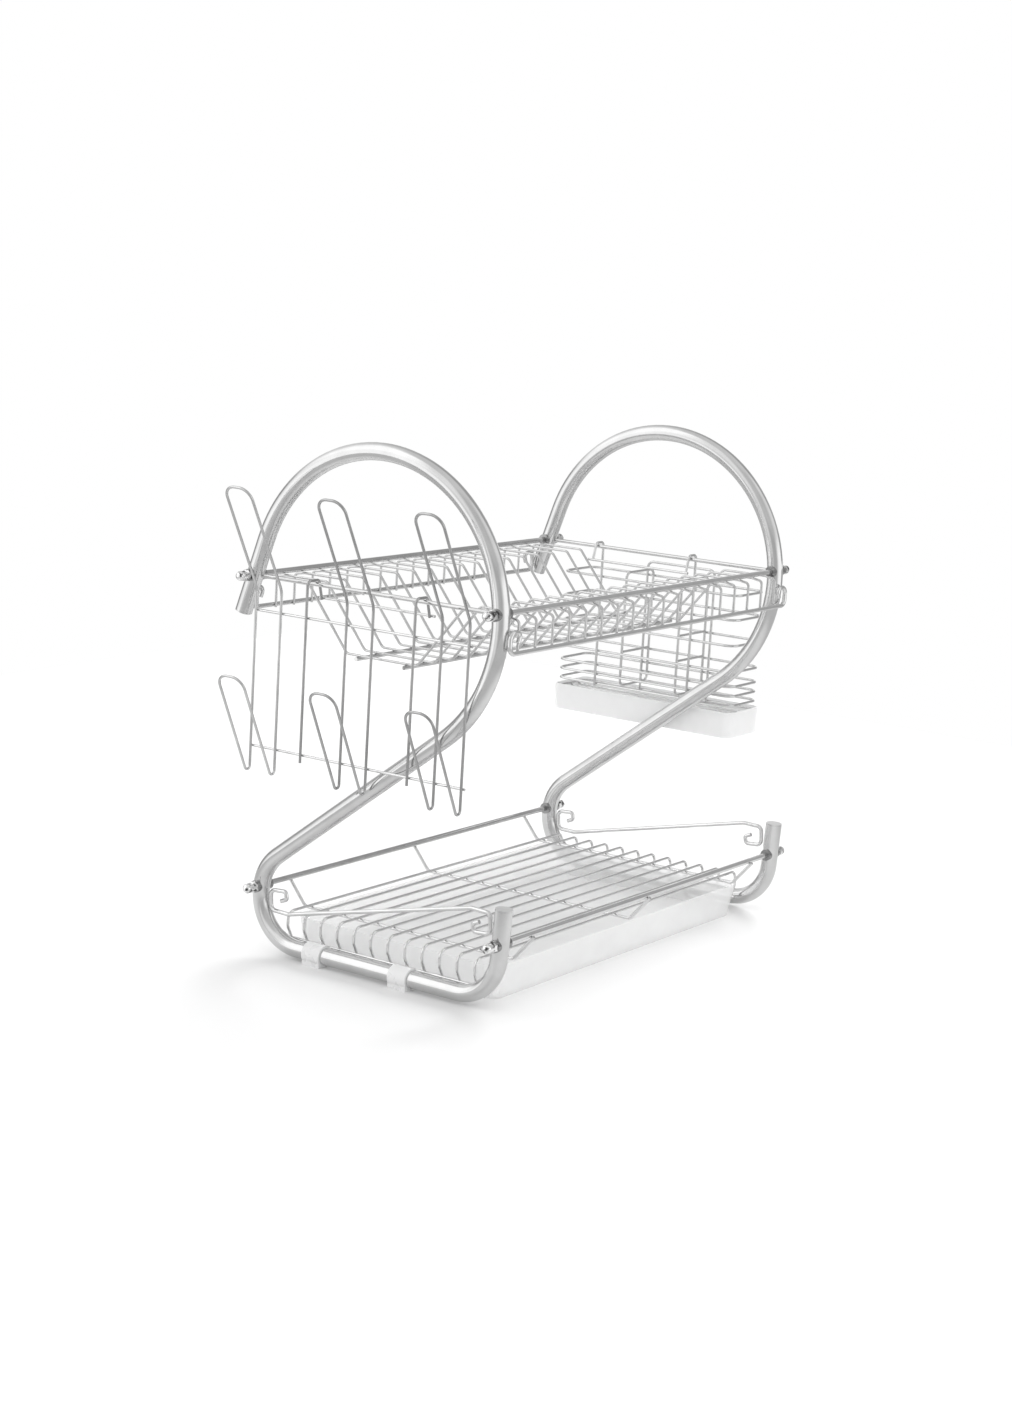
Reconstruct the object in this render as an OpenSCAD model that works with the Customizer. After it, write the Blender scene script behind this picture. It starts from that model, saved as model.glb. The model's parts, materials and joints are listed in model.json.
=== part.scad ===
// Two-tier dish drying rack: two bent-tube S frames joined by four threaded rails.
// Frame axes: X runs along the rails, -Y is the front, +Z is up and Z = 0 is the counter.

/* [S frames] */
// Distance between the centre planes of the two S frames
frame_span = 357.5; // [300:0.5:460]
// Outside diameter of the frame tube
tube_d = 12; // [10:0.5:16]
// Wall of the frame tube
tube_wall = 1.2; // [0.8:0.1:2]
// Centreline radius of the big upper loop
loop_r = 101.6; // [90:0.2:115]
// Height of the upper loop's centre
loop_z = 255.3; // [235:0.1:290]
// Distance of the upper loop's centre in front of the rack's centre
loop_front = 1.5; // [0:0.1:8]
// Lean of the loop's free back end from the vertical, in degrees
loop_end_lean = 18.9; // [12:0.1:26]
// Length of the straight free end at the loop's back
loop_end_l = 55; // [42:0.5:70]
// Centreline radius of the lower back bend
back_bend_r = 35; // [30:0.5:42]
// Distance of the lower back bend's centre behind the rack's centre
back_bend_y = 51.5; // [45:0.1:60]
// Centreline radius of the lower front bend
front_bend_r = 32; // [24:0.5:34]
// Distance of the front leg in front of the rack's centre, at the lower rail
front_leg_y = 117.5; // [108:0.1:128]
// Outward lean of the front leg from the vertical, in degrees
front_leg_lean = 3; // [0:0.1:5]
// Height of the front leg's top end
front_leg_z = 71; // [60:0.5:90]
// Thickness of the flat cap on each tube end
cap_t = 1.2; // [0.8:0.1:3]
// Length of the cap's spigot inside the tube
cap_spigot_l = 7; // [4:0.5:12]

/* [Rails and fasteners] */
// Diameter of the four long rails
rail_d = 4; // [3.5:0.1:5]
// Height of the two upper rails
upper_rail_z = 262.8; // [258:0.1:268]
// Height of the two lower rails
lower_rail_z = 46.8; // [42:0.1:54]
// Clearance of a rail in the holes of the tubes
rail_play = 0.3; // [0.2:0.05:0.6]
// Diameter of the saddle washers
saddle_d = 8.6; // [7.5:0.1:10]
// Thickness of a saddle washer outside the tube
saddle_t = 1.6; // [1:0.1:3]
// Width across the flats of the cap nuts
nut_af = 7; // [6:0.1:8]
// Height of the cap nuts' hexagon
nut_hex_h = 3.6; // [2.5:0.1:5]
// Diameter of the cap nuts' dome
nut_dome_d = 6.8; // [5.8:0.1:7.6]
// Length of the barrel under the cap nuts' dome
nut_barrel_h = 4; // [2:0.1:6]

/* [Upper plate rack] */
// Number of plate wires
plate_wires_n = 18; // [10:1:20]
// Distance of the outermost plate wires from the frame planes
plate_end_gap = 11.3; // [10:0.1:16]
// Diameter of the plate wires
plate_wire_d = 1.8; // [1.6:0.1:2.6]
// Inside bend radius of the plate wires' corners
plate_bend_r = 4; // [3:0.5:6]
// Overhang of the plate wires past the rails
plate_overhang = 6.6; // [5:0.1:8]
// Fall of the plate wires over their overhang
plate_fall = 1.4; // [0:0.1:3]
// Distance of the shoulders' inner ends from the rack's centre
shoulder_y = 64.9; // [56:0.1:72]
// Half width of the trough's flat bottom
trough_half_w = 29.6; // [26:0.1:36]
// Height of the trough's wires
trough_z = 217.2; // [205:0.1:228]
// Diameter of the two trough rods
trough_rod_d = 3; // [2.5:0.1:4]
// Distance of the trough rods from the rack's centre
trough_rod_y = 20.3; // [14:0.1:24]
// Diameter of the two skirt rods with scrolled ends
skirt_rod_d = 3.2; // [2.6:0.1:4]
// Height of the skirt rods
skirt_z = 238; // [230:0.1:244]
// Height of the skirt rods' scrolls
skirt_scroll_h = 14.4; // [12:0.1:16]
// Reach of the front skirt rod's scrolls from the rack's middle plane past the frame planes
front_scroll_out = 1.2; // [-4:0.1:4]
// Gap between the back skirt rod's scrolls and the tubes
back_scroll_gap = 0.6; // [0.4:0.1:3]
// Diameter of the end bars that the accessories hang on
end_bar_d = 3; // [2.6:0.1:3.6]

/* [Lower deck] */
// Number of deck wires
deck_wires_n = 12; // [8:1:12]
// Spacing of the deck wires
deck_pitch = 14.6; // [12:0.1:14.8]
// Diameter of the deck wires
deck_wire_d = 2; // [1.8:0.1:2.6]
// Height of the deck wires
deck_z = 29.7; // [28.5:0.1:33]
// Distance of the deck's middle behind the middle of the two lower rails
deck_shift = 3; // [0:0.1:5]
// Gap between the deck's dropped ends and the frame planes
deck_end_gap = 7.8; // [7.5:0.1:20]
// Centreline bend radius of the deck wires' dropped ends
deck_bend_r = 6; // [4:0.5:7]
// Inward lean of the dropped ends at the end rods
deck_drop_in = 4; // [1:0.1:5]
// Height of the deck's end rods
deck_end_z = 10.4; // [8:0.1:11]
// Diameter of the deck's end rods
deck_end_d = 2.6; // [2:0.1:3]
// Diameter of the three cross supports
support_d = 2.4; // [2:0.1:3]
// Distance of the outer cross supports from the deck's dropped ends
support_inset = 26; // [18:0.5:60]
// Slope of the supports' ends up to the rails, in degrees
support_slope = 49.6; // [42:0.1:58]
// Diameter of the scroll guards' wire
guard_d = 3; // [2.4:0.1:3.6]
// Height of the scroll guards' low ends above the frames' bottom run
guard_rise = 23; // [18:0.5:28]
// Height of the guards' scrolls
guard_scroll_h = 15.5; // [13:0.1:17]
// Gap between the guards and the tubes
guard_gap = 0.3; // [0.3:0.05:1]

/* [Feet] */
// Length of the clear foot clips
foot_l = 15; // [10:0.5:22]
// Wall of the foot clips round the tube
foot_wall = 1.5; // [1:0.1:2.5]
// Width of the foot clips' flat base
foot_base_w = 13; // [10:0.5:15]
// Distance of the feet on each side of their middle
foot_spread = 37.2; // [30:0.1:42]

/* [Drip tray] */
// Clearance between the tray's ends and the deck's dropped ends
tray_end_gap = 4.2; // [1:0.1:6]
// Distance of the tray's front rim from the rack's centre
tray_front_y = 104; // [96:0.5:108]
// Distance of the tray's back rim from the rack's centre
tray_back_y = 72; // [60:0.5:76]
// Height of the tray
tray_h = 24.6; // [14:0.1:25]
// Inset of the tray's bottom from its rim
tray_taper = 4; // [1:0.5:6]
// Wall and floor of the tray
tray_wall = 1.6; // [1:0.1:2.4]
// Corner radius of the tray
tray_corner_r = 14; // [8:0.5:20]

/* [Mug holder] */
// Diameter of the mug holder's wires
mug_wire_d = 1.9; // [1.6:0.1:2.4]
// Gap between the hung accessories and the tubes
hang_gap = 0.35; // [0.3:0.05:1]
// Distance between the mug hooks
mug_pitch = 78.7; // [66:0.1:84]
// Width of a mug hook between its two wires
mug_hook_w = 22; // [18:0.5:30]
// Distance of the mug holder's middle behind the rack's centre
mug_mid_y = 4; // [0:0.5:6]
// Height where the upper hooks leave their uprights
mug_bend_z = 256; // [248:0.5:258]
// Height of the upper hooks' tops
mug_top_z = 327; // [300:0.5:340]
// Outward reach of the hooks from their uprights
mug_reach = 38; // [25:0.5:50]
// Height of the lower hooks' turns
mug_turn_z = 129; // [110:0.5:134]
// Height of the lower hooks' tops
mug_low_top_z = 200; // [170:0.5:215]
// Centreline radius of the lower hooks' tight turns
mug_turn_r = 2.6; // [2.2:0.1:4]
// Distance of the two hangers from the holder's middle
mug_hanger_y = 45.5; // [42:0.5:52]
// Height of the hangers' lower ends
mug_hanger_z = 141; // [134:0.5:144]
// Height of the upper cross bar
mug_upper_bar_z = 240.2; // [225:0.1:246]
// Height of the lower cross bar
mug_lower_bar_z = 146; // [144.5:0.1:165]
// Depth of the hooks' inner legs below the end bar
hook_drop = 11; // [8:0.5:14]
// Inward reach of the hooks' inner legs over their length
hook_flare = 3.5; // [1:0.1:3.8]
// Clearance between the hooks and the end bar
hook_play = 0.3; // [0.2:0.05:0.5]

/* [Cutlery basket] */
// Diameter of the basket's wires
basket_wire_d = 2; // [1.6:0.1:2.4]
// Length of the basket along the end bar
basket_l = 160; // [140:1:170]
// Depth of the basket between its ring wires
basket_w = 44; // [36:0.5:52]
// Distance of the basket's middle behind the rack's centre
basket_mid_y = 13.5; // [8:0.5:16]
// Corner radius of the ring wires
basket_corner_r = 8; // [5:0.5:12]
// Heights of the ring wires above the lowest one
basket_ring_heights = [7.5, 15, 22.5, 33.9, 54.4, 74.4, 93.4];
// Height of the basket's lowest ring
basket_z = 144.5; // [140:0.5:150]
// Distance of the dividers from the middle between them
divider_y = 25.5; // [20:0.5:32]
// Distance of the dividers' middle in front of the basket's middle
divider_shift = 4; // [0:0.5:6]
// Height of the dividers above the top ring
divider_rise = 5.5; // [0:0.5:8]
// Distance of the outer arch's legs from the dividers
arch_out = 5.5; // [3:0.5:10]
// Height of the outer arch above the top ring
arch_rise = 11; // [8:0.5:14]
// Distance of the hangers from the basket's middle
basket_hanger_y = 42.5; // [36:0.5:52]

/* [Drip cup] */
// Wall of the drip cup
cup_wall = 1.4; // [1:0.1:1.4]
// Clearance between the basket's foot and the drip cup's rim
cup_play = 0.5; // [0.4:0.05:0.6]
// Height of the drip cup
cup_h = 20; // [14:0.5:28]
// Inset of the drip cup's bottom from its rim
cup_taper = 1; // [0:0.1:1]
// Corner radius of the drip cup
cup_corner_r = 8; // [5:0.5:12]

/* [Hidden] */

lap = 0.25;      // how far a straight stretch runs into a bend
swell = 0.02;    // a bend is this much fatter in radius, so the stretch ends inside it
seat = 0.02;     // gap between pieces that are welded or seated
chrome = [0.80, 0.81, 0.83];
frosted = [0.90, 0.91, 0.92, 0.7];

tube_r = tube_d / 2;
frame_x = frame_span / 2;
run_z = tube_r + foot_wall;

// The S in its own plane: u points to the front and v is up.
loop_c = [loop_front, loop_z];
bend_c = [-back_bend_y, run_z + back_bend_r];
diag_d = bend_c - loop_c;
diag_l = sqrt(norm(diag_d) ^ 2 - (loop_r + back_bend_r) ^ 2);
diag_dir = atan2(diag_d[1], diag_d[0]) - atan2(loop_r + back_bend_r, diag_l);
loop_front_a = diag_dir + 90;
loop_back_a = 180 - loop_end_lean;
loop_tangent = loop_c + loop_r * [cos(loop_back_a), sin(loop_back_a)];
end_dir = [-sin(loop_end_lean), -cos(loop_end_lean)];
loop_end = loop_tangent + loop_end_l * end_dir;
diag_top = loop_c + loop_r * [cos(loop_front_a), sin(loop_front_a)];
diag_bottom = bend_c - back_bend_r * [cos(loop_front_a), sin(loop_front_a)];
leg_dir = [sin(front_leg_lean), cos(front_leg_lean)];
leg_foot = [front_leg_y - (lower_rail_z - run_z) * tan(front_leg_lean), run_z];
leg_turn = front_bend_r * tan((90 - front_leg_lean) / 2);
front_c = leg_foot + [-leg_turn, front_bend_r];
leg_start = leg_foot + leg_turn * leg_dir;
leg_end = leg_foot + leg_dir * (front_leg_z - run_z) / leg_dir[1];

// Where the rails pass through the tubes, as distances in front of the centre.
upper_front_u = loop_front + sqrt(loop_r ^ 2 - (upper_rail_z - loop_z) ^ 2);
upper_back_u = loop_tangent[0] - (loop_tangent[1] - upper_rail_z) * tan(loop_end_lean);
lower_front_u = front_leg_y;
lower_back_u = bend_c[0] - sqrt(back_bend_r ^ 2 - (lower_rail_z - bend_c[1]) ^ 2);
joints = [[upper_front_u, upper_rail_z], [upper_back_u, upper_rail_z],
          [lower_front_u, lower_rail_z], [lower_back_u, lower_rail_z]];

nut_l = saddle_t + nut_hex_h + nut_barrel_h;
shoulder_z = upper_rail_z - rail_d / 2 - plate_wire_d / 2 - seat;
skirt_gap = (plate_wire_d + skirt_rod_d) / 2 + seat;
front_skirt_u = upper_front_u + plate_overhang;
back_skirt_u = upper_back_u - plate_overhang;
plate_x0 = plate_end_gap - frame_x;
plate_pitch = -2 * plate_x0 / (plate_wires_n - 1);

deck_mid_u = (lower_front_u + lower_back_u) / 2 - deck_shift;
deck_end_x = frame_x - deck_end_gap;
support_z = deck_z - deck_wire_d / 2 - support_d / 2 - seat;
deck_u0 = deck_mid_u - (deck_wires_n - 1) / 2 * deck_pitch;

support_pitch = deck_end_x - support_inset;

tray_end_x = deck_end_x - deck_drop_in - deck_end_d / 2 - tray_end_gap;

hang_x = frame_x + tube_r + hang_gap;
mug_bar_x = -(hang_x + mug_wire_d / 2);
mug_x = mug_bar_x - mug_wire_d - seat;
mug_turn_half = atan(mug_reach / (mug_low_top_z - mug_turn_z)) / 2;
mug_corner_z = mug_turn_z - mug_turn_r * (1 / sin(mug_turn_half) - 1);
basket_upright_x = hang_x + basket_wire_d / 2;
basket_in_x = basket_upright_x + basket_wire_d + seat;
basket_out_x = basket_in_x + basket_w;
divider_mid_y = basket_mid_y - divider_shift;
basket_top_z = basket_z + basket_ring_heights[len(basket_ring_heights) - 1];
cup_in_x = basket_in_x - basket_wire_d / 2 - cup_wall - cup_play;
cup_out_x = basket_out_x + basket_wire_d / 2 + cup_wall + cup_play;
cup_half_l = basket_l / 2 + basket_wire_d / 2 + cup_wall + cup_play;
cup_z = basket_z - basket_wire_d * 1.5 - cup_wall - 13;

// Where the end bars' hooks turn down, and how their inner legs lean.
hook_top_d = end_bar_d + 2 * hook_play;
hook_lean = atan(hook_flare / (hook_drop + end_bar_d / 2));

// The whole rack is shifted so that the origin is under the middle of its box.
x_min = mug_x - mug_reach - mug_wire_d / 2 - swell;
x_max = cup_out_x;
y_max = -loop_end[0] + tube_r * cos(loop_end_lean);
y_min = -leg_end[0] - tube_r * cos(front_leg_lean);
middle = [(x_min + x_max) / 2, (y_min + y_max) / 2, 0];

function unit(v) = v / norm(v);
function axes(x, y, z, p) = [[x[0], y[0], z[0], p[0]], [x[1], y[1], z[1], p[1]],
                             [x[2], y[2], z[2], p[2]], [0, 0, 0, 1]];
function corner_radius(r, i) = is_list(r) ? r[i] : r;
// Length that a bend of radius r takes off each side of a corner between directions a and b.
function corner_cut(a, b, r) = r / tan(acos(a * b) / 2);

module place() {
    translate(-middle) children();
}

// A straight round bar from p to q.
module rod(p, q, r) {
    z = unit(q - p);
    x = unit(abs(z[2]) < 0.9 ? cross(z, [0, 0, 1]) : cross(z, [1, 0, 0]));
    multmatrix(axes(x, cross(z, x), z, p)) cylinder(r = r, h = norm(q - p), $fn = 24);
}

// A round bend at corner p between the directions a and b of its two neighbours.
module bend(p, a, b, bend_r, r) {
    half = acos(a * b) / 2;
    c = p + unit(a + b) * bend_r / sin(half);
    x = unit(p + a * bend_r / tan(half) - c);
    multmatrix(axes(x, -a, cross(x, -a), c))
        rotate_extrude(angle = 180 - 2 * half, $fn = 96) translate([bend_r, 0]) circle(r + swell, $fn = 24);
}

// A bent wire through the corners in pts. A closed wire joins its last corner to its first.
module wire(pts, d, bend_r, closed = false) {
    n = len(pts);
    last = closed ? n - 1 : n - 2;
    for (i = [closed ? 0 : 1 : last]) {
        p = pts[i];
        bend(p, unit(pts[(i + n - 1) % n] - p), unit(pts[(i + 1) % n] - p), corner_radius(bend_r, i), d / 2);
    }
    for (i = [0 : last]) {
        p = pts[i];
        q = pts[(i + 1) % n];
        along = unit(q - p);
        cut_p = i == 0 && !closed ? 0
            : corner_cut(unit(pts[(i + n - 1) % n] - p), along, corner_radius(bend_r, i)) - lap;
        cut_q = i == n - 2 && !closed ? 0
            : corner_cut(-along, unit(pts[(i + 2) % n] - q), corner_radius(bend_r, (i + 1) % n)) - lap;
        rod(p + along * cut_p, q - along * cut_q, d / 2);
    }
}

// Stands what is drawn in (u, v) up in the plane x: u becomes -Y and v becomes Z.
module stand(x) {
    multmatrix([[0, 0, -1, x], [-1, 0, 0, 0], [0, 1, 0, 0], [0, 0, 0, 1]]) children();
}

module flat_rod(p, q, r, lap_p = 0, lap_q = 0) {
    along = unit(q - p);
    a = p - along * lap_p;
    b = q + along * lap_q;
    rod([a[0], a[1], 0], [b[0], b[1], 0], r);
}

module flat_bend(c, bend_r, from, to, r) {
    translate([c[0], c[1], 0]) rotate(from)
        rotate_extrude(angle = to - from, $fn = 180) translate([bend_r, 0]) circle(r + swell, $fn = 36);
}

// The S-shaped centreline as a round bar of radius r, longer by extra at both ends.
module s_bar(r, extra) {
    flat_rod(loop_end, loop_tangent, r, extra, lap);
    flat_bend(loop_c, loop_r, loop_front_a, loop_back_a, r);
    flat_rod(diag_top, diag_bottom, r, lap, lap);
    flat_bend(bend_c, back_bend_r, loop_front_a + 180, 270, r);
    flat_rod([bend_c[0], run_z], [front_c[0], run_z], r, lap, lap);
    flat_bend(front_c, front_bend_r, -90, -front_leg_lean, r);
    flat_rod(leg_start, leg_end, r, lap, extra);
}

module s_tube(x) {
    place() stand(x) difference() {
        s_bar(tube_r, -cap_t);
        s_bar(tube_r - tube_wall, 1);
        for (j = joints) translate([j[0], j[1], -tube_d])
            cylinder(d = rail_d + rail_play, h = 2 * tube_d, $fn = 24);
    }
}

// A cap with a spigot, closing the tube whose end is at p and points along out.
module end_cap(p, out) {
    outer = [p[0], p[1], 0];
    dir = [out[0], out[1], 0];
    rod(outer - dir * (cap_t - seat), outer, tube_r);
    rod(outer - dir * (cap_t + cap_spigot_l), outer - dir * (cap_t / 2), tube_r - tube_wall - 0.1);
}

module end_caps(x) {
    place() stand(x) {
        end_cap(loop_end, end_dir);
        end_cap(leg_end, leg_dir);
    }
}

// The bar between the two sides of the loop, with its ends coped to the tube.
module end_bar(x) {
    place() stand(x) difference() {
        flat_rod([upper_back_u, upper_rail_z], [upper_front_u, upper_rail_z], end_bar_d / 2);
        flat_rod(loop_end, loop_tangent, tube_r + seat, 0, lap);
        flat_bend(loop_c, loop_r, -20, 20, tube_r + seat);
    }
}

// The S-shaped wire between the back bend and the front leg, with a scroll at both ends.
module scroll_guard(x) {
    back = bend_c[0] - sqrt((back_bend_r - tube_r) ^ 2 - 25) + guard_d / 2 + guard_gap;
    front = front_leg_y - tube_r - guard_d / 2 - guard_gap;
    low = run_z + guard_rise;
    high = front_leg_z - guard_d * 1.5;
    s = guard_scroll_h;
    scroll = [[0.65, 0.52], [0.97, 0.65], [0.9, 1], [0.03, 0.94], [0.1, 0.03], [1.1, 0]] * s;
    rear = [for (p = scroll) [back + p[0], low + p[1], 0]];
    fore = [for (i = [5 : -1 : 0]) [front - scroll[i][0], high - scroll[i][1], 0]];
    radii = [0, 0.12, 0.155, 0.26, 0.26, 0.45] * s;
    place() stand(x) wire(concat(rear, fore), guard_d, concat(radii, [for (i = [5 : -1 : 0]) radii[i]]));
}

module rail(j) {
    l = 2 * (frame_x + tube_r + nut_l - 0.5);
    place() translate([-l / 2, -joints[j][0], joints[j][1]]) rotate([0, 90, 0])
        cylinder(d = rail_d, h = l, $fn = 24);
}

// The tube round joint j, as a bar of radius r.
module tube_near(j, r) {
    loop_a = asin((upper_rail_z - loop_z) / loop_r);
    bend_a = 180 - asin((lower_rail_z - bend_c[1]) / back_bend_r);
    if (j == 0) flat_bend(loop_c, loop_r, loop_a - 6, loop_a + 6, r);
    if (j == 1) flat_rod(loop_end, loop_tangent, r);
    if (j == 2) flat_rod(leg_start, leg_end, r);
    if (j == 3) flat_bend(bend_c, back_bend_r, bend_a - 15, bend_a + 15, r);
}

// A washer on each side of each tube, its inner face hollowed to sit on the tube.
module saddle_washers() {
    h = tube_r + saddle_t;
    color([0.25, 0.25, 0.27]) place() for (side = [-1, 1], j = [0 : 3], face = [0, 180])
        stand(side * frame_x) difference() {
            translate([joints[j][0], joints[j][1], 0]) rotate([face, 0, 0]) difference() {
                cylinder(d = saddle_d, h = h, $fn = 36);
                translate([0, 0, -1]) cylinder(d = rail_d + rail_play, h = h + 2, $fn = 24);
            }
            tube_near(j, tube_r + 2 * seat);
        }
}

// Cap nuts on the rails' ends, outside the tubes.
module cap_nut() {
    difference() {
        union() {
            cylinder(d = nut_af / cos(30), h = nut_hex_h, $fn = 6);
            translate([0, 0, nut_hex_h / 2])
                cylinder(d = nut_dome_d, h = nut_hex_h / 2 + nut_barrel_h, $fn = 36);
            translate([0, 0, nut_hex_h + nut_barrel_h]) intersection() {
                sphere(d = nut_dome_d + swell, $fn = 48);
                cylinder(d = 2 * nut_dome_d, h = nut_dome_d, $fn = 36);
            }
        }
        translate([0, 0, -1]) cylinder(d = rail_d + 0.1, h = nut_hex_h + nut_barrel_h + 1, $fn = 24);
    }
}

module cap_nuts() {
    color(chrome) place() for (side = [-1, 1], j = joints)
        translate([side * (frame_x + tube_r + saddle_t + seat), -j[0], j[1]])
            rotate([0, side * 90, 0]) cap_nut();
}

// A clear clip round the tube's bottom run, slit on its inner side, with a flat base.
module foot(u, side) {
    r = tube_r + foot_wall;
    translate([0, -u + foot_l / 2, run_z]) rotate([90, 0, 0]) difference() {
        union() {
            cylinder(r = r, h = foot_l, $fn = 48);
            translate([-foot_base_w / 2, -run_z, 0]) cube([foot_base_w, run_z - tube_r * 0.7, foot_l]);
        }
        translate([0, 0, -1]) cylinder(r = tube_r + seat + swell, h = foot_l + 2, $fn = 48);
        translate([side * r - r / 2, tube_r * 0.3, -1]) cube([r, 1.2, foot_l + 2]);
    }
}

module feet(x, side) {
    middle_u = (bend_c[0] + front_c[0]) / 2 - 14.6;
    color([0.86, 0.87, 0.88, 0.8]) place() translate([x, 0, 0])
        for (u = [middle_u - foot_spread, middle_u + foot_spread]) foot(u, side);
}

module plate_wires() {
    front = front_skirt_u;
    back = back_skirt_u;
    fall_z = shoulder_z - plate_fall;
    color(chrome) place() for (i = [0 : plate_wires_n - 1]) stand(plate_x0 + i * plate_pitch) wire([
        [back, skirt_z - skirt_rod_d / 2, 0], [back, fall_z, 0], [upper_back_u + 2, shoulder_z, 0],
        [-shoulder_y, shoulder_z, 0], [-trough_half_w, trough_z, 0], [trough_half_w, trough_z, 0],
        [shoulder_y, shoulder_z, 0], [upper_front_u - 2, shoulder_z, 0], [front, fall_z, 0],
        [front, skirt_z - skirt_rod_d / 2, 0]
    ], plate_wire_d, [0, 3, 6, plate_bend_r, plate_bend_r, plate_bend_r, plate_bend_r, 6, 3, 0]);
}

// A long rod outside the skirt, both ends turned up and scrolled inward; reach is its outermost x.
module skirt_rod(u, reach) {
    x = reach - skirt_rod_d / 2;
    half = [[0, 0], [0, 1], [-0.83, 0.92], [-0.62, 0.45]] * skirt_scroll_h;
    radii = [0.35, 0.35, 0.35, 0.21, 0] * skirt_scroll_h;
    left = [for (i = [3 : -1 : 0]) [-x - half[i][0], -u, skirt_z + half[i][1]]];
    right = [for (p = half) [x + p[0], -u, skirt_z + p[1]]];
    place() wire(concat(left, right), skirt_rod_d,
        [radii[4], radii[3], radii[2], radii[1], radii[0], radii[1], radii[3], radii[4]]);
}

module trough_rods() {
    z = trough_z - plate_wire_d / 2 - trough_rod_d / 2 - seat;
    x = -plate_x0 + 2;
    color(chrome) place() for (y = [-1, 1] * trough_rod_y) rod([-x, y, z], [x, y, z], trough_rod_d / 2);
}

module deck_wires() {
    x = deck_end_x;
    foot_x = x - deck_drop_in;
    foot_z = deck_end_z + deck_end_d / 2 + seat;
    mid_z = foot_z + 0.4 * (deck_z - foot_z);
    color(chrome) place() for (i = [0 : deck_wires_n - 1]) translate([0, -deck_u0 - i * deck_pitch, 0]) wire([
        [-foot_x, 0, foot_z], [-x, 0, mid_z], [-x, 0, deck_z],
        [x, 0, deck_z], [x, 0, mid_z], [foot_x, 0, foot_z]
    ], deck_wire_d, [0, deck_bend_r, deck_bend_r, deck_bend_r, deck_bend_r, 0]);
}

module deck_end_rod(side) {
    x = side * (deck_end_x - deck_drop_in);
    u1 = deck_u0 - 3;
    u2 = deck_u0 + (deck_wires_n - 1) * deck_pitch + 3;
    color(chrome) place() rod([x, -u1, deck_end_z], [x, -u2, deck_end_z], deck_end_d / 2);
}

// Three wires that hang under the two lower rails and carry the deck.
module deck_supports() {
    reach = (rail_d + support_d) / 2 + seat;
    run = [cos(support_slope), sin(support_slope)];
    front = [lower_front_u, lower_rail_z] + reach * [run[1], -run[0]];
    back = [lower_back_u, lower_rail_z] + reach * [-run[1], -run[0]];
    front_u = front[0] - (front[1] - support_z) / tan(support_slope);
    back_u = back[0] + (back[1] - support_z) / tan(support_slope);
    end_l = 1.5;
    color(chrome) place() for (i = [-1 : 1]) stand(i * support_pitch) wire([
        [back[0] - end_l * run[0], back[1] + end_l * run[1], 0], [back_u, support_z, 0],
        [front_u, support_z, 0], [front[0] + end_l * run[0], front[1] + end_l * run[1], 0]
    ], support_d, 6);
}

// One closed wire: a tall upper hook, two uprights and a lower hook.
module mug_hook(i) {
    x = mug_x;
    out = mug_x - mug_reach;
    y1 = mug_mid_y + i * mug_pitch + mug_hook_w / 2;
    y2 = y1 - mug_hook_w;
    color(chrome) place() wire([
        [out, y1, mug_top_z], [out, y2, mug_top_z], [x, y2, mug_bend_z], [x, y2, mug_corner_z],
        [out, y2, mug_low_top_z], [out, y1, mug_low_top_z], [x, y1, mug_corner_z], [x, y1, mug_bend_z]
    ], mug_wire_d, [9, 9, 14, mug_turn_r, 9, 9, mug_turn_r, 14], closed = true);
}

// A wire that comes up at x, goes over an end bar and leans away on its inner side.
module hanger(x, y, z_low, d) {
    side = sign(x);
    r = (hook_top_d + d) / 2;
    top = upper_rail_z + r;
    inner = frame_x - r;
    flare = (top - upper_rail_z + hook_drop) * tan(hook_lean);
    place() wire([[x, y, z_low], [x, y, top], [side * inner, y, top],
        [side * (inner - flare), y, upper_rail_z - hook_drop]], d, [0, 3.4, r, 0]);
}

// The wire that joins two hooks' inner legs, on the side away from the end bar.
module hook_tie(side, mid_y, half, d) {
    r = (hook_top_d + d) / 2;
    x = frame_x - r - (r + hook_drop - d / 2) * tan(hook_lean) - (d + seat) / cos(hook_lean);
    z = upper_rail_z - hook_drop + d / 2;
    color(chrome) place() rod([side * x, mid_y - half - 3, z], [side * x, mid_y + half + 3, z], d / 2);
}

module mug_hanger(side) {
    color(chrome) hanger(mug_x, mug_mid_y + side * mug_hanger_y, mug_hanger_z, mug_wire_d);
}

module mug_bar(z) {
    half = mug_pitch + mug_hook_w / 2 + 1.5;
    bar = [mug_bar_x, mug_mid_y, z];
    color(chrome) place() rod(bar - [0, half, 0], bar + [0, half, 0], mug_wire_d / 2);
}

// The cutlery basket's closed ring wires; the lowest one sits in the drip cup.
module basket_rings() {
    x1 = basket_in_x;
    x2 = basket_out_x;
    y1 = basket_mid_y - basket_l / 2;
    y2 = basket_mid_y + basket_l / 2;
    color(chrome) place() for (h = concat([0], basket_ring_heights)) translate([0, 0, basket_z + h])
        wire([[x1, y1, 0], [x2, y1, 0], [x2, y2, 0], [x1, y2, 0]],
            basket_wire_d, basket_corner_r, closed = true);
}

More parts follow.
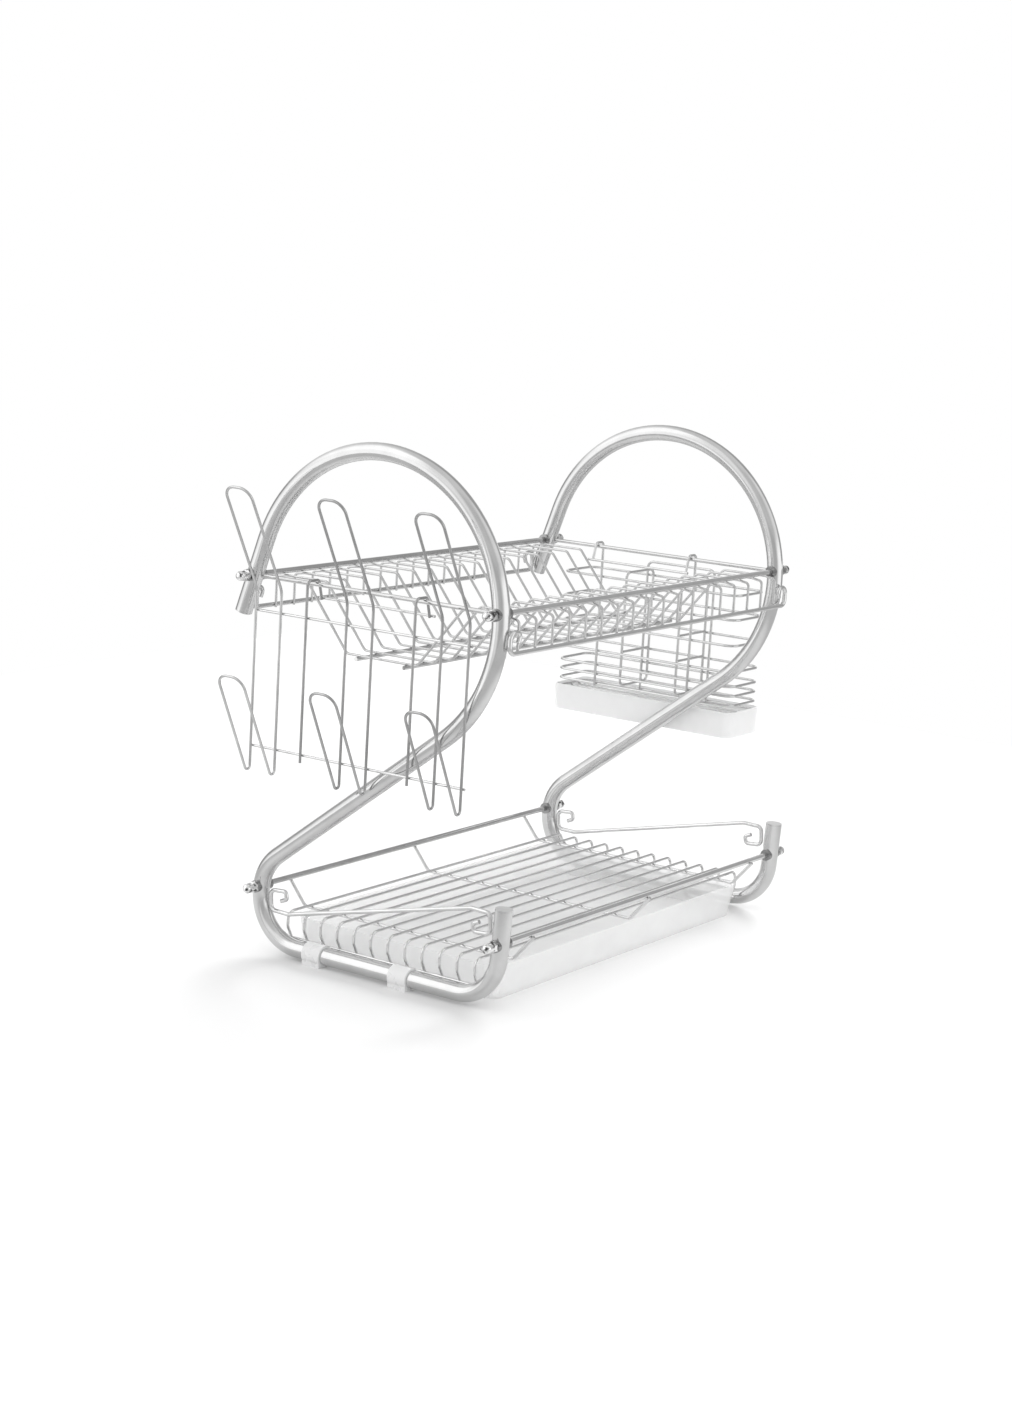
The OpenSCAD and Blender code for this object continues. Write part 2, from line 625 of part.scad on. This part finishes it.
// Two closed frames across the basket, each with two rungs, which part it in three.
module basket_dividers() {
    x1 = basket_in_x + basket_wire_d + seat;
    x2 = basket_out_x - basket_wire_d - seat;
    low = basket_z + basket_ring_heights[0] + 1;
    high = basket_top_z + divider_rise;
    rung_x1 = x1 + basket_wire_d / 2 + seat;
    rung_x2 = x2 - basket_wire_d / 2 - seat;
    color(chrome) place() for (side = [-1, 1]) {
        y = divider_mid_y + side * divider_y;
        wire([[x1, y, low], [x2, y, low], [x2, y, high], [x1, y, high]], basket_wire_d, 5, closed = true);
        for (f = [0.3, 0.52]) rod([rung_x1, y, low + f * (high - low)], [rung_x2, y, low + f * (high - low)],
            basket_wire_d / 2);
    }
}

// An arch on the basket's outer side, whose legs also carry its lowest ring.
module basket_arch() {
    x = basket_out_x - basket_wire_d - seat;
    y1 = divider_mid_y - divider_y - arch_out;
    y2 = divider_mid_y + divider_y + arch_out;
    low = basket_z - basket_wire_d / 2;
    high = basket_top_z + arch_rise;
    color(chrome) place() wire([[x, y1, low], [x, y1, high], [x, y2, high], [x, y2, low]],
        basket_wire_d, [0, 5, 5, 0]);
}

// Wires along the basket's bottom, under its lowest ring.
module basket_base_wires() {
    z = basket_z - basket_wire_d - seat;
    half = basket_l / 2;
    color(chrome) place() for (f = [0.25, 0.5, 0.75]) {
        x = basket_in_x + f * basket_w;
        rod([x, basket_mid_y - half, z], [x, basket_mid_y + half, z], basket_wire_d / 2);
    }
}

module basket_hanger(side) {
    color(chrome) hanger(basket_upright_x, basket_mid_y + side * basket_hanger_y,
        basket_z + basket_ring_heights[0] - 1.5, basket_wire_d);
}

// An open box with round corners whose sides lean in by taper towards its floor.
module open_box(x1, x2, y1, y2, z, h, wall, r, taper) {
    module block(inset, lift, top) {
        hull() for (x = [x1 + r, x2 - r], y = [y1 + r, y2 - r])
            translate([x, y, z + lift])
                cylinder(r1 = r - inset - taper, r2 = r - inset, h = h - lift + top, $fn = 32);
    }
    difference() {
        block(0, 0, 0);
        block(wall, wall, 0.01);
    }
}

module drip_cup() {
    color(frosted) place() open_box(cup_in_x, cup_out_x, basket_mid_y - cup_half_l, basket_mid_y + cup_half_l,
        cup_z, cup_h, cup_wall, cup_corner_r, cup_taper);
}

module drip_tray() {
    color(frosted) place() open_box(-tray_end_x, tray_end_x, -tray_front_y, tray_back_y, 0, tray_h,
        tray_wall, tray_corner_r, tray_taper);
}

color(chrome) s_tube(-frame_x);  // left_s_tube
color(chrome) s_tube(frame_x);  // right_s_tube
color(chrome) end_caps(-frame_x);  // left_end_caps
color(chrome) end_caps(frame_x);  // right_end_caps
color(chrome) end_bar(-frame_x);  // left_end_bar
color(chrome) end_bar(frame_x);  // right_end_bar
color(chrome) scroll_guard(-frame_x);  // left_scroll_guard
color(chrome) scroll_guard(frame_x);  // right_scroll_guard
color(chrome) rail(0);  // upper_front_rail
color(chrome) rail(1);  // upper_back_rail
color(chrome) rail(2);  // lower_front_rail
color(chrome) rail(3);  // lower_back_rail
saddle_washers();
cap_nuts();
feet(-frame_x, 1);  // left_feet
feet(frame_x, -1);  // right_feet
plate_wires();
color(chrome)  // front_skirt_rod
    skirt_rod(front_skirt_u + skirt_gap, frame_x + front_scroll_out + skirt_rod_d / 2);
color(chrome)  // back_skirt_rod
    skirt_rod(back_skirt_u - skirt_gap, frame_x - tube_r - back_scroll_gap);
trough_rods();
deck_wires();
deck_end_rod(-1);  // deck_left_rod
deck_end_rod(1);  // deck_right_rod
deck_supports();
mug_hook(1);  // mug_hook_back
mug_hook(0);  // mug_hook_middle
mug_hook(-1);  // mug_hook_front
mug_hanger(1);  // mug_hanger_back
mug_hanger(-1);  // mug_hanger_front
hook_tie(-1, mug_mid_y, mug_hanger_y, mug_wire_d);  // mug_hook_tie
mug_bar(mug_upper_bar_z);  // mug_upper_bar
mug_bar(mug_lower_bar_z);  // mug_lower_bar
basket_rings();
basket_dividers();
basket_arch();
basket_base_wires();
basket_hanger(1);  // basket_hanger_back
basket_hanger(-1);  // basket_hanger_front
hook_tie(1, basket_mid_y, basket_hanger_y, basket_wire_d);  // basket_hook_tie
drip_cup();
drip_tray();
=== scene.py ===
import json
import math

import bpy
from mathutils import Matrix, Vector

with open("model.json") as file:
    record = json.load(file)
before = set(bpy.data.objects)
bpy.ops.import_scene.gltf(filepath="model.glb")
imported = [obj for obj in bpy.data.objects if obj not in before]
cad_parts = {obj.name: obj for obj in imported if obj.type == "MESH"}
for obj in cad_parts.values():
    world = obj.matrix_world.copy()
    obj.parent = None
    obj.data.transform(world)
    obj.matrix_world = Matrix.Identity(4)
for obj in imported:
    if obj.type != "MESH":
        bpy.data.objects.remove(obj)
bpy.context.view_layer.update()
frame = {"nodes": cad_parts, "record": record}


FULL_TURN = 360

# The camera stands where the photograph was taken from. Angles are in degrees, places and
# distances in metres, and the lens and its sensor in millimetres.
CAMERA_AZIMUTH, CAMERA_ELEVATION, CAMERA_ROLL = -55.489, 10.663, 3.361
CAMERA_TARGET = Vector((0.00954, 0.02488, 0.16168))
CAMERA_DISTANCE = 1.8944
CAMERA_LENS, CAMERA_SENSOR = 65.99, 36
CAMERA_NEAR, CAMERA_FAR = 0.05, 50

# The floor is pale paper, and a faint glow that only the camera sees lifts it to the backdrop's
# white. What the metal mirrors is a painted reflection: a greyer floor, which goes from the first
# grey to the second between two distances from the middle of the rack, so it darkens outwards as
# painted shade, and which has a glow of its own as painted light.
FLOOR_SIZE = 1.9
FLOOR_GREY = 0.79
FLOOR_GLOW = 0.02
MIRRORED_GREYS = (0.58, 0.38)
MIRRORED_REACH = (0.27, 0.50)
MIRRORED_GLOW = 0.08

# The metal mirrors a room of light boxes with grey gaps. Each ring lists degrees round the room,
# from -X by way of -Y, +X and +Y, with the grey there. The two spans say where one ring gives way
# to the next, as the sine of the height above the horizon.
ROOM_LEVEL = 1.45
LOW_RING = [(0, 0.66), (15, 0.38), (52, 0.35), (66, 0.49), (85, 0.84), (127, 0.90), (136, 0.29),
            (170, 0.29), (190, 0.70), (240, 0.70), (255, 0.21), (276, 0.28), (290, 0.70),
            (312, 0.90), (328, 0.90), (338, 0.56), (350, 0.66)]
HIGH_RING = [(0, 0.66), (20, 0.45), (70, 0.43), (100, 0.59), (130, 0.63), (150, 0.31), (186, 0.29),
             (220, 0.39), (240, 0.53), (254, 0.61), (294, 0.96), (315, 1.0), (324, 1.0), (345, 0.70)]
CEILING = 0.52
LOW_TO_HIGH = (0.18, 0.42)
HIGH_TO_CEILING = (0.80, 0.95)

# Each lamp: its name, azimuth from +X towards +Y, elevation and width in degrees, and its power.
LAMPS = [("key", 8, 25, 40, 3.8), ("fill", 235, 14, 120, 1.0)]
LAMP_DISTANCE = 3

# Most of a noise's values lie between these two.
NOISE_LOW, NOISE_HIGH = 0.3, 0.7
NOISE_ROUGHNESS = 0.55
COARSE_DETAIL = 4.0

# Scales of the patterns, which are finer where the number is higher, and the depths of the two
# that are raised, in metres.
CHROME_CLOUD, NUT_PAINTED_GLINTS = 55.0, 300.0
GLOSS_TO_CLOUD = 3
POLISH_GRAIN, POLISH_DETAIL, POLISH_DEPTH = 900.0, 2.0, 0.00004
FROST_CLOUD, FROST_GLOSS, FROST_BODY = 38.0, 90.0, 24.0
MOULD_GRAIN, MOULD_DETAIL, MOULD_DEPTH = 420.0, 3.0, 0.0001
MOULD_STRENGTH = 0.10
PLASTIC_IOR = 1.3

# Chrome whose grey stands in for what the piece mirrors in the photograph's studio.
DARKER_RAILS = ("upper_back_rail", "lower_back_rail")
PALER_WIRES = ("deck_wires", "deck_supports", "deck_left_rod", "deck_right_rod",
               "left_scroll_guard", "right_scroll_guard", "upper_front_rail", "front_skirt_rod",
               "lower_front_rail", "mug_upper_bar", "mug_lower_bar", "mug_hook_tie")


def towards(azimuth, elevation):
    """The direction of a lamp or the camera; the azimuth, in degrees, runs from +X towards +Y."""
    a, e = math.radians(azimuth), math.radians(elevation)
    return Vector((math.cos(a) * math.cos(e), math.sin(a) * math.cos(e), math.sin(e)))


def add_to_scene(name, data):
    obj = bpy.data.objects.new(name, data)
    bpy.context.scene.collection.objects.link(obj)
    return obj


def add_camera():
    """Places the camera, whose azimuth is counted from -Y, a quarter turn before +X."""
    back = towards(CAMERA_AZIMUTH - FULL_TURN / 4, CAMERA_ELEVATION)
    roll = math.radians(CAMERA_ROLL)
    right = Vector((0, 0, 1)).cross(back).normalized()
    up = back.cross(right)
    x = right * math.cos(roll) + up * math.sin(roll)
    y = up * math.cos(roll) - right * math.sin(roll)
    data = bpy.data.cameras.new("camera")
    data.lens, data.sensor_width = CAMERA_LENS, CAMERA_SENSOR
    data.clip_start, data.clip_end = CAMERA_NEAR, CAMERA_FAR
    camera = add_to_scene("camera", data)
    place = Matrix((x, y, back)).transposed().to_4x4()
    place.translation = CAMERA_TARGET + back * CAMERA_DISTANCE
    camera.matrix_world = place
    bpy.context.scene.camera = camera


# ---------------------------------------------------------------- node trees

# The sockets of Blender's mix node that carry a colour.
MIX_FACTOR, MIX_A, MIX_B, MIX_RESULT = 0, 6, 7, 2


def grey(level):
    return (level, level, level)


def opaque(colour):
    return (*colour, 1)


class Tree:
    """Builds one node tree, from an empty one."""

    def __init__(self, tree):
        self.tree = tree
        tree.nodes.clear()

    def add(self, kind, **settings):
        node = self.tree.nodes.new(kind)
        for name, value in settings.items():
            setattr(node, name, value)
        return node

    def feed(self, socket, value):
        """Links an output to the socket, or sets the socket to a plain value."""
        if isinstance(value, bpy.types.NodeSocket):
            self.tree.links.new(value, socket)
        else:
            socket.default_value = value

    def fill(self, node, **values):
        """Feeds a node's inputs by name, with _ for each space."""
        for name, value in values.items():
            self.feed(node.inputs[name.replace("_", " ")], value)

    def math(self, operation, a, b):
        node = self.add("ShaderNodeMath", operation=operation)
        self.feed(node.inputs[0], a)
        self.feed(node.inputs[1], b)
        return node.outputs[0]

    def mix(self, factor, a, b):
        """Colour a, and colour b where the factor is 1."""
        node = self.add("ShaderNodeMix", data_type="RGBA")
        self.feed(node.inputs[MIX_FACTOR], factor)
        self.feed(node.inputs[MIX_A], a)
        self.feed(node.inputs[MIX_B], b)
        return node.outputs[MIX_RESULT]

    def ramp(self, value, stops, kind="LINEAR"):
        """A colour ramp; each stop is a value and the colour there."""
        node = self.add("ShaderNodeValToRGB")
        node.color_ramp.interpolation = kind
        elements = node.color_ramp.elements
        while len(elements) < len(stops):
            elements.new(0.5)
        for element, (position, colour) in zip(elements, stops):
            element.position = position
            element.color = opaque(colour)
        self.feed(node.inputs["Fac"], value)
        return node.outputs["Color"]

    def fade(self, value, span, levels=(0.0, 1.0)):
        """A smooth change from one grey to another while the value crosses the span."""
        return self.ramp(value, [(at, grey(level)) for at, level in zip(span, levels)], "EASE")

    def seen(self):
        """1 for what the camera sees, straight or through clear plastic."""
        path = self.add("ShaderNodeLightPath")
        return self.math("MAXIMUM", path.outputs["Is Camera Ray"], path.outputs["Is Transmission Ray"])

    def mirrored(self):
        """1 for what is seen in a mirror."""
        return self.add("ShaderNodeLightPath").outputs["Is Glossy Ray"]


# ---------------------------------------------------------------- materials

class Material(Tree):
    """One material: a principled shader fed by noise in the object's own coordinates."""

    def __init__(self, name):
        self.made = bpy.data.materials.new(name)
        self.made.use_nodes = True
        super().__init__(self.made.node_tree)
        out = self.add("ShaderNodeOutputMaterial")
        self.shader = self.add("ShaderNodeBsdfPrincipled")
        self.fill(out, Surface=self.shader.outputs[0])
        self.coordinates = self.add("ShaderNodeTexCoord").outputs["Object"]

    def noise(self, scale, detail=COARSE_DETAIL):
        node = self.add("ShaderNodeTexNoise")
        self.fill(node, Vector=self.coordinates, Scale=scale, Detail=detail, Roughness=NOISE_ROUGHNESS)
        return node.outputs["Fac"]

    def spread(self, value, low, high):
        """Stretches a noise to run from low to high."""
        node = self.add("ShaderNodeMapRange")
        self.fill(node, Value=value, From_Min=NOISE_LOW, From_Max=NOISE_HIGH, To_Min=low, To_Max=high)
        return node.outputs["Result"]

    def bump(self, height, strength, distance):
        node = self.add("ShaderNodeBump")
        self.fill(node, Height=height, Strength=strength, Distance=distance)
        self.fill(self.shader, Normal=node.outputs["Normal"])


def metal(name, dark, light, rough, cloud=CHROME_CLOUD, edges=(NOISE_LOW, NOISE_HIGH), grain=0.06):
    """Chrome plate: clouds in colour and roughness, and the very fine grain of its polish. The
    clouds go from dark to light between the two edges; hard-edged, as on the nuts, they are
    painted glints."""
    m = Material(name)
    colour = m.ramp(m.noise(cloud), [(edges[0], grey(dark)), (edges[1], grey(light))])
    gloss = m.spread(m.noise(cloud * GLOSS_TO_CLOUD), *rough)
    m.fill(m.shader, Metallic=1.0, Base_Color=colour, Roughness=gloss)
    if grain:
        m.bump(m.noise(POLISH_GRAIN, POLISH_DETAIL), grain, POLISH_DEPTH)
    return m.made


def plastic(name, tint, rough, through, body, frost):
    """Moulded translucent plastic. The body is the range of its cover, which lets the rest of the
    light straight through; a share of the body's own light goes through as in clear plastic; and
    the frost is how much darker its clouds get than the tint."""
    m = Material(name)
    frosted = tuple(c * (1 - frost) for c in tint)
    colour = m.ramp(m.noise(FROST_CLOUD), [(NOISE_LOW, frosted), (NOISE_HIGH, tint)])
    gloss = m.spread(m.noise(FROST_GLOSS), *rough)
    cover = m.spread(m.noise(FROST_BODY), *body)
    m.fill(m.shader, IOR=PLASTIC_IOR, Transmission_Weight=through)
    m.fill(m.shader, Base_Color=colour, Roughness=gloss, Alpha=cover)
    m.bump(m.noise(MOULD_GRAIN, MOULD_DETAIL), MOULD_STRENGTH, MOULD_DEPTH)
    return m.made


def make_materials():
    """A material for each slot and place. The nuts' hard-edged clouds stand in for the black glints
    of the photograph's nuts."""
    return {
        "tube": metal("chrome tube", 0.66, 0.74, (0.10, 0.15), grain=0),
        "cap": metal("bright cap", 0.62, 0.70, (0.08, 0.14)),
        # Painted glints: the nut's hard-edged clouds run from near black to near white.
        "fastener": metal("nut with painted glints", 0.10, 0.95, (0.03, 0.07), cloud=NUT_PAINTED_GLINTS,
                          edges=(0.40, 0.50), grain=0.03),
        "washer": metal("dark washer", 0.30, 0.38, (0.14, 0.24)),
        # The wire, rail, deck, hook and basket chromes are one chrome in different greys: painted
        # reflections of what each part mirrors.
        "wire": metal("chrome wire", 0.60, 0.70, (0.07, 0.13)),
        "rail": metal("chrome rail", 0.55, 0.65, (0.06, 0.12)),
        "deck": metal("deck wire", 0.72, 0.82, (0.08, 0.15)),
        "hook_wire": metal("hook wire", 0.42, 0.52, (0.06, 0.12)),
        "basket_wire": metal("basket wire", 0.66, 0.76, (0.08, 0.15)),
        "clear_plastic": plastic("frosted clip plastic", (0.93, 0.931, 0.932), (0.24, 0.34), 0.1,
                                 (0.86, 0.92), 0.02),
        "cup_plastic": plastic("frosted cup plastic", (0.96, 0.961, 0.962), (0.34, 0.46), 0.1,
                               (0.66, 0.72), 0.015),
        "tray_plastic": plastic("tray plastic", (0.98, 0.981, 0.982), (0.28, 0.38), 0.2,
                                (0.34, 0.38), 0.015),
    }


def dress():
    """Gives each node the material of its slot, or, for some places, a darker or paler chrome whose
    grey is a painted reflection.
    """
    made = make_materials()
    looks = {part["node"]: part["material_slot"] for part in frame["record"]["subparts"]}
    # Painted reflections: these rails, wires and the back mug hook take a darker or paler chrome for
    # what each mirrors.
    looks.update({name: "rail" for name in DARKER_RAILS})
    looks.update({name: "deck" for name in PALER_WIRES})
    looks["mug_hook_back"] = "wire"
    for name, node in frame["nodes"].items():
        node.data.materials.clear()
        node.data.materials.append(made[looks[name]])
        for face in node.data.polygons:
            face.material_index = 0


# ---------------------------------------------------------------- studio

def add_floor():
    """Paper that keeps the rack's shadow, and looks greyer in the metal."""
    bpy.ops.mesh.primitive_plane_add(size=FLOOR_SIZE, location=(0, 0, 0))
    floor = bpy.context.object
    floor.name = "floor"
    material = bpy.data.materials.new("studio floor")
    material.use_nodes = True
    t = Tree(material.node_tree)
    # Painted reflection: the floor the metal mirrors is greyer, darker away from the rack, and glows a
    # little.
    mirrored = t.mirrored()
    middle = t.add("ShaderNodeVectorMath", operation="LENGTH")
    t.feed(middle.inputs[0], t.add("ShaderNodeTexCoord").outputs["Object"])
    darkening = t.fade(middle.outputs["Value"], MIRRORED_REACH, MIRRORED_GREYS)
    paper = t.add("ShaderNodeBsdfDiffuse")
    t.fill(paper, Color=t.mix(mirrored, opaque(grey(FLOOR_GREY)), darkening))
    glow = t.add("ShaderNodeEmission")
    t.fill(glow, Strength=t.math("ADD", t.math("MULTIPLY", t.seen(), FLOOR_GLOW),
                                 t.math("MULTIPLY", mirrored, MIRRORED_GLOW)))
    both = t.add("ShaderNodeAddShader")
    t.feed(both.inputs[0], paper.outputs[0])
    t.feed(both.inputs[1], glow.outputs[0])
    t.fill(t.add("ShaderNodeOutputMaterial"), Surface=both.outputs[0])
    floor.data.materials.append(material)


def ring_stops(ring):
    """A ring's degrees as parts of a full turn, with their greys as colours."""
    return [(degrees / FULL_TURN, grey(level)) for degrees, level in ring]


def add_world():
    """White to the camera; to the metal, the room of light boxes."""
    world = bpy.data.worlds.new("studio")
    bpy.context.scene.world = world
    world.use_nodes = True
    t = Tree(world.node_tree)
    sight = t.add("ShaderNodeSeparateXYZ")
    t.feed(sight.inputs[0], t.add("ShaderNodeTexCoord").outputs["Generated"])
    height = sight.outputs["Z"]
    turn = t.math("ARCTAN2", sight.outputs["Y"], sight.outputs["X"])
    turn = t.math("ADD", t.math("MULTIPLY", turn, 1 / math.tau), 0.5)
    low = t.ramp(turn, ring_stops(LOW_RING))
    high = t.ramp(turn, ring_stops(HIGH_RING), "EASE")
    walls = t.mix(t.fade(height, LOW_TO_HIGH), low, high)
    boxes = t.mix(t.fade(height, HIGH_TO_CEILING), walls, opaque(grey(CEILING)))
    room = t.add("ShaderNodeBackground")
    t.fill(room, Color=boxes, Strength=ROOM_LEVEL)
    white = t.add("ShaderNodeBackground")
    t.fill(white, Color=opaque(grey(1)))
    pick = t.add("ShaderNodeMixShader")
    t.feed(pick.inputs[0], t.seen())
    t.feed(pick.inputs[1], room.outputs[0])
    t.feed(pick.inputs[2], white.outputs[0])
    t.fill(t.add("ShaderNodeOutputWorld"), Surface=pick.outputs[0])


def add_lamp(name, azimuth, elevation, width, power):
    """A soft lamp as wide as the given angle. The metal mirrors the room instead of it."""
    direction = towards(azimuth, elevation)
    data = bpy.data.lights.new(name, "SUN")
    data.energy = power
    data.angle = math.radians(width)
    lamp = add_to_scene(name, data)
    lamp.location = direction * LAMP_DISTANCE
    lamp.rotation_euler = direction.to_track_quat("Z", "Y").to_euler()
    lamp.visible_glossy = False


dress()
add_camera()
add_floor()
add_world()
for lamp in LAMPS:
    add_lamp(*lamp)
bpy.context.scene.view_settings.view_transform = "Standard"
